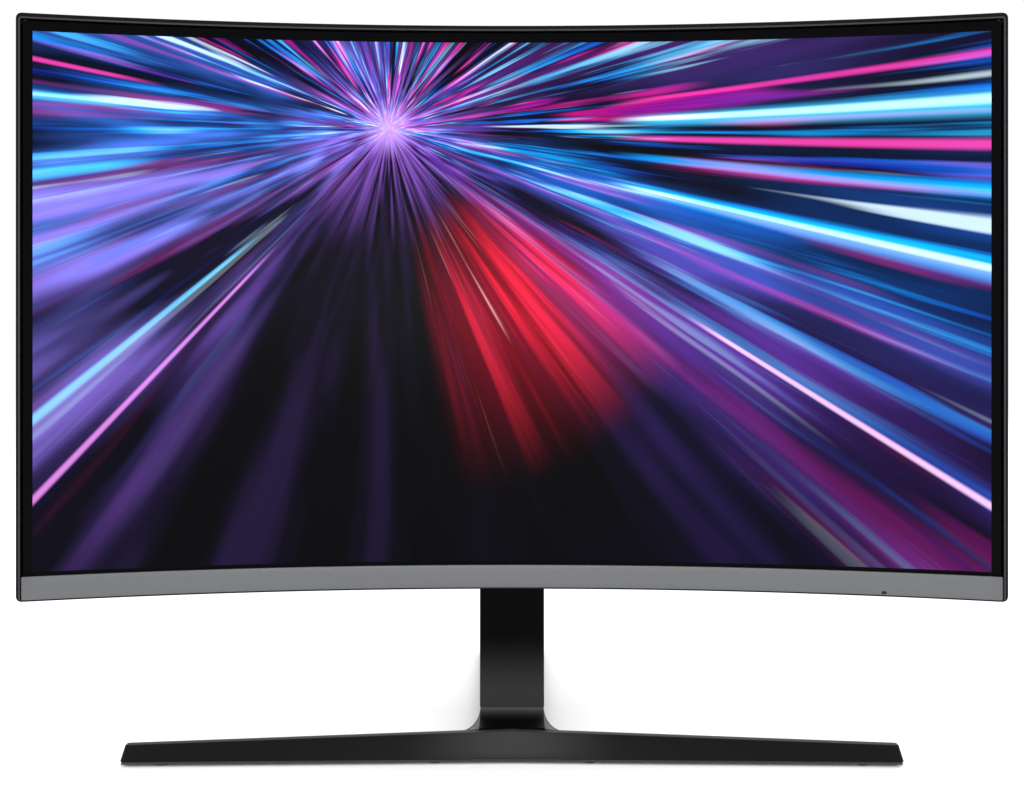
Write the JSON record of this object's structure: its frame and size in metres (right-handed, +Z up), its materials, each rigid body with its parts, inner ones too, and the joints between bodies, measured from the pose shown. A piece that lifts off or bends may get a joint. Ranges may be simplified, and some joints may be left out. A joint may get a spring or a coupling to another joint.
{
  "type": "computer monitor",
  "caption": "Curved widescreen desktop monitor on a slim fixed neck and a wide shallow bar base, with a tilting head and a rear joystick.",
  "frame": {"origin": "on the desk plane, straight below the middle of the neck", "axes": "+Z up, +X to the viewer's right, -Y towards the viewer, who sees the display face-on"},
  "size_m": [0.6172, 0.2497, 0.4753],
  "materials": {
    "frame_black": "polished black moulded plastic",
    "frame_inner": "matt moulded plastic",
    "chin_silver": "dark silver painted, fine brushed grain",
    "lens_smoke": "smoked clear plastic",
    "display_glass": "anti-glare coated glass over a lit picture",
    "film_white": "white diffusing sheet",
    "guide_clear": "clear acrylic plate",
    "led_strip": "white-coated strip",
    "steel_sheet": "zinc-coated sheet steel",
    "steel_dark": "dark phosphated steel",
    "shaft_steel": "ground steel",
    "screw_steel": "zinc-plated",
    "screw_black": "black oxide",
    "standoff_brass": "turned brass",
    "cover_black": "fine spark-textured moulded plastic",
    "board_green": "glass-epoxy circuit board",
    "component_black": "components",
    "heatsink_alloy": "black anodised",
    "cable_flat": "flat cable",
    "socket_metal": "nickel-plated shell",
    "socket_black": "moulded socket body",
    "socket_plate": "pressed plate",
    "button_black": "satin knob",
    "stand_black": "satin black moulded plastic",
    "plate_black": "matt base plate",
    "foot_rubber": "soft rubber pads"
  },
  "bodies": {
    "stand": {"neck_core": "steel_dark", "neck_front_cover": "stand_black", "neck_rear_cover": "stand_black", "neck_screws": "screw_black", "base_cover": "stand_black", "base_frame": "steel_dark", "base_plate": "plate_black", "rubber_feet": "foot_rubber", "base_screws": "screw_black", "neck_foot_screws": "screw_steel"},
    "head": {"front_frame": "frame_black", "chin_trim": "chin_silver", "power_led_lens": "lens_smoke", "lcd_cell": "display_glass", "optical_films": "film_white", "light_guide": "guide_clear", "reflector_sheet": "film_white", "led_bar": "led_strip", "mid_frame": "frame_inner", "panel_tray": "steel_sheet", "rear_cover": "cover_black", "mount_bracket": "steel_sheet", "bracket_screws": "screw_steel", "vesa_standoffs": "standoff_brass", "hinge_arms": "steel_dark", "hinge_shaft": "shaft_steel", "hinge_washers": "screw_steel", "hinge_nuts": "screw_steel", "main_board": "board_green", "power_board": "board_green", "board_standoffs": "standoff_brass", "board_screws": "screw_steel", "main_chip_heatsink": "heatsink_alloy", "power_components": "component_black", "timing_board": "board_green", "panel_ribbon": "cable_flat", "led_harness": "cable_flat", "hdmi_sockets": "socket_metal", "displayport_socket": "socket_metal", "audio_jack": "socket_black", "dc_inlet": "socket_black", "connector_plate": "socket_plate", "lock_slot_plate": "steel_dark", "cover_screws": "screw_black", "jog_board": "board_green", "jog_switch_housing": "socket_black"},
    "jog_gimbal": {"jog_gimbal": "steel_dark"},
    "jog_rocker": {"jog_rocker": "steel_dark"},
    "jog_cap": {"jog_cap": "button_black"}
  },
  "joints": [
    {"name": "head_tilt", "type": "hinge", "parent": "stand", "child": "head", "pos_m": [0, 0, 0.1968], "axis": [-1, 0, 0], "range_deg": [-2, 20]},
    {"name": "jog_up_down", "type": "hinge", "parent": "head", "child": "jog_gimbal", "pos_m": [0.23534, -0.04793, 0.1233], "axis": [0.9878, -0.1557, 0], "range_deg": [-6, 6], "stiffness_Nm_per_rad": 0.03},
    {"name": "jog_left_right", "type": "hinge", "parent": "jog_gimbal", "child": "jog_rocker", "pos_m": [0.23534, -0.04793, 0.1233], "axis": [0, 0, 1], "range_deg": [-6, 6], "stiffness_Nm_per_rad": 0.03},
    {"name": "jog_press", "type": "slide", "parent": "jog_rocker", "child": "jog_cap", "axis": [-0.1557, -0.9878, 0], "range_m": [0, 0.0004], "stiffness_N_per_m": 1500}
  ]
}
